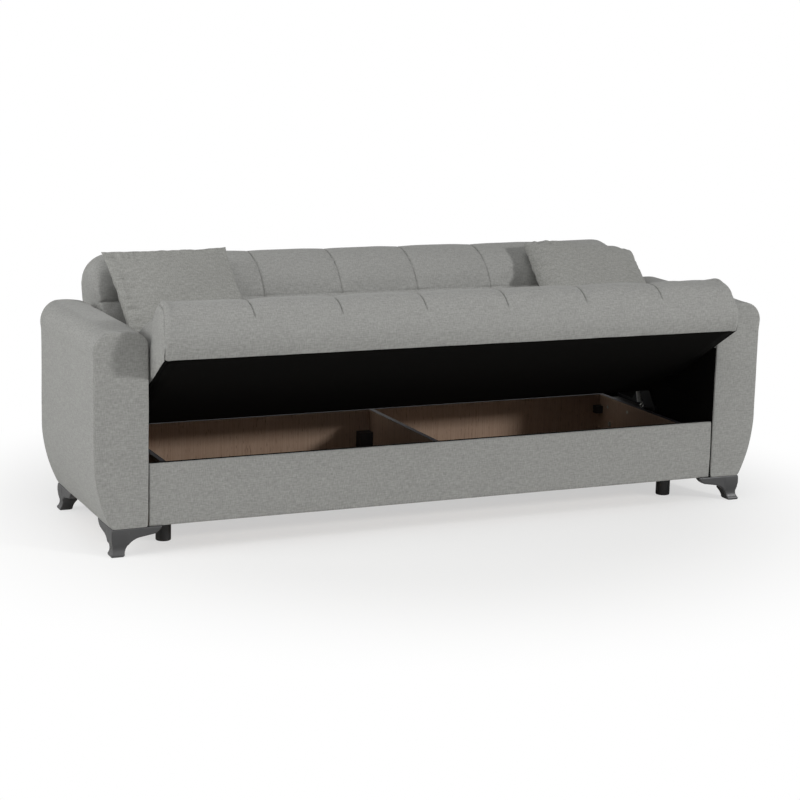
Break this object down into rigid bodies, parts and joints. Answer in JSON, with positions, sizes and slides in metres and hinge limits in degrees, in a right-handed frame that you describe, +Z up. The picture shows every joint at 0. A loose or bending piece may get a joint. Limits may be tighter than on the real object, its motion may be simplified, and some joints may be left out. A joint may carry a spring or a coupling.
{
  "type": "storage sofa",
  "caption": "Padded sofa with arms whose seat tilts up over a storage box and whose back folds flat to make a bed.",
  "frame": {"origin": "on the floor, under the middle of the sofa's bounding box, with the box open", "axes": "+X along the sofa to the right of someone who looks at its front, +Y to the rear, +Z up"},
  "size_m": [2.21, 0.9389, 0.8029],
  "materials": {
    "grey_weave": "flat woven upholstery cloth",
    "black_lining": "thin black non-woven lining",
    "brown_board": "brown grained chipboard",
    "edge_band": "thin edge band",
    "timber": "planed softwood",
    "charcoal_plastic": "moulded, satin charcoal",
    "black_plastic": "moulded, matt black",
    "black_steel": "black powder coat",
    "zinc_steel": "zinc plated",
    "spring_steel": "drawn wire"
  },
  "bodies": {
    "base": {"arm_bolts": "zinc_steel", "arm_spacers": "timber", "block_screws": "zinc_steel", "box_floor": "brown_board", "corner_blocks": "timber", "divider": "brown_board", "edge_bands": "edge_band", "foot_fasteners": "zinc_steel", "front_bearer": "timber", "front_panel": "brown_board", "front_panel_cover": "grey_weave", "left_arm_facing": "grey_weave", "left_arm_frame": "timber", "left_arm_lining": "black_lining", "left_arm_pad": "grey_weave", "left_front_foot": "charcoal_plastic", "left_front_support_leg": "black_plastic", "left_lift_spring": "spring_steel", "left_mechanism_block": "timber", "left_rail_plate": "black_steel", "left_rear_foot": "charcoal_plastic", "left_rear_support_leg": "black_plastic", "left_side_panel": "brown_board", "rear_bearer": "timber", "rear_panel": "brown_board", "right_arm_facing": "grey_weave", "right_arm_frame": "timber", "right_arm_lining": "black_lining", "right_arm_pad": "grey_weave", "right_front_foot": "charcoal_plastic", "right_front_support_leg": "black_plastic", "right_lift_spring": "spring_steel", "right_mechanism_block": "timber", "right_rail_plate": "black_steel", "right_rear_foot": "charcoal_plastic", "right_rear_support_leg": "black_plastic", "right_side_panel": "brown_board", "spring_eyes": "zinc_steel"},
    "carriage": {"left_carriage_plate": "black_steel", "right_carriage_plate": "black_steel", "left_hinge_pin": "zinc_steel", "right_hinge_pin": "zinc_steel", "carriage_studs": "zinc_steel"},
    "seat": {"seat_cushion": "grey_weave", "seat_frame": "timber", "seat_plate_bolts": "zinc_steel", "seat_springs": "spring_steel", "seat_underside_cloth": "black_lining", "left_seat_plate": "black_steel", "right_seat_plate": "black_steel"},
    "back": {"back_cushion": "grey_weave", "back_frame": "timber", "back_plate_bolts": "zinc_steel", "back_rear_panel": "black_lining", "back_springs": "spring_steel", "left_back_plate": "black_steel", "right_back_plate": "black_steel"},
    "left_pillow": {"left_pillow": "grey_weave"},
    "right_pillow": {"right_pillow": "grey_weave"}
  },
  "joints": [
    {"name": "hinge_slide", "type": "slide", "parent": "base", "child": "carriage", "axis": [0, 0.9886, -0.1504], "range_m": [-0.009, 0.0932], "deforming": ["left_lift_spring", "right_lift_spring"]},
    {"name": "seat_lift", "type": "hinge", "parent": "carriage", "child": "seat", "pos_m": [0, 0.07802, 0.467], "axis": [-1, 0, 0], "range_deg": [-32, 2]},
    {"name": "back_fold", "type": "hinge", "parent": "carriage", "child": "back", "pos_m": [0, 0.07802, 0.467], "axis": [1, 0, 0], "range_deg": [-58, 24]},
    {"name": "left_pillow_lift", "type": "slide", "parent": "back", "child": "left_pillow", "axis": [0, 0.454, 0.891], "range_m": [0, 0.4]},
    {"name": "right_pillow_lift", "type": "slide", "parent": "back", "child": "right_pillow", "axis": [0, 0.454, 0.891], "range_m": [0, 0.4]}
  ],
  "couplings": [
    {"joint": "hinge_slide", "follows": "seat_lift", "m_per_rad": -0.16662}
  ]
}
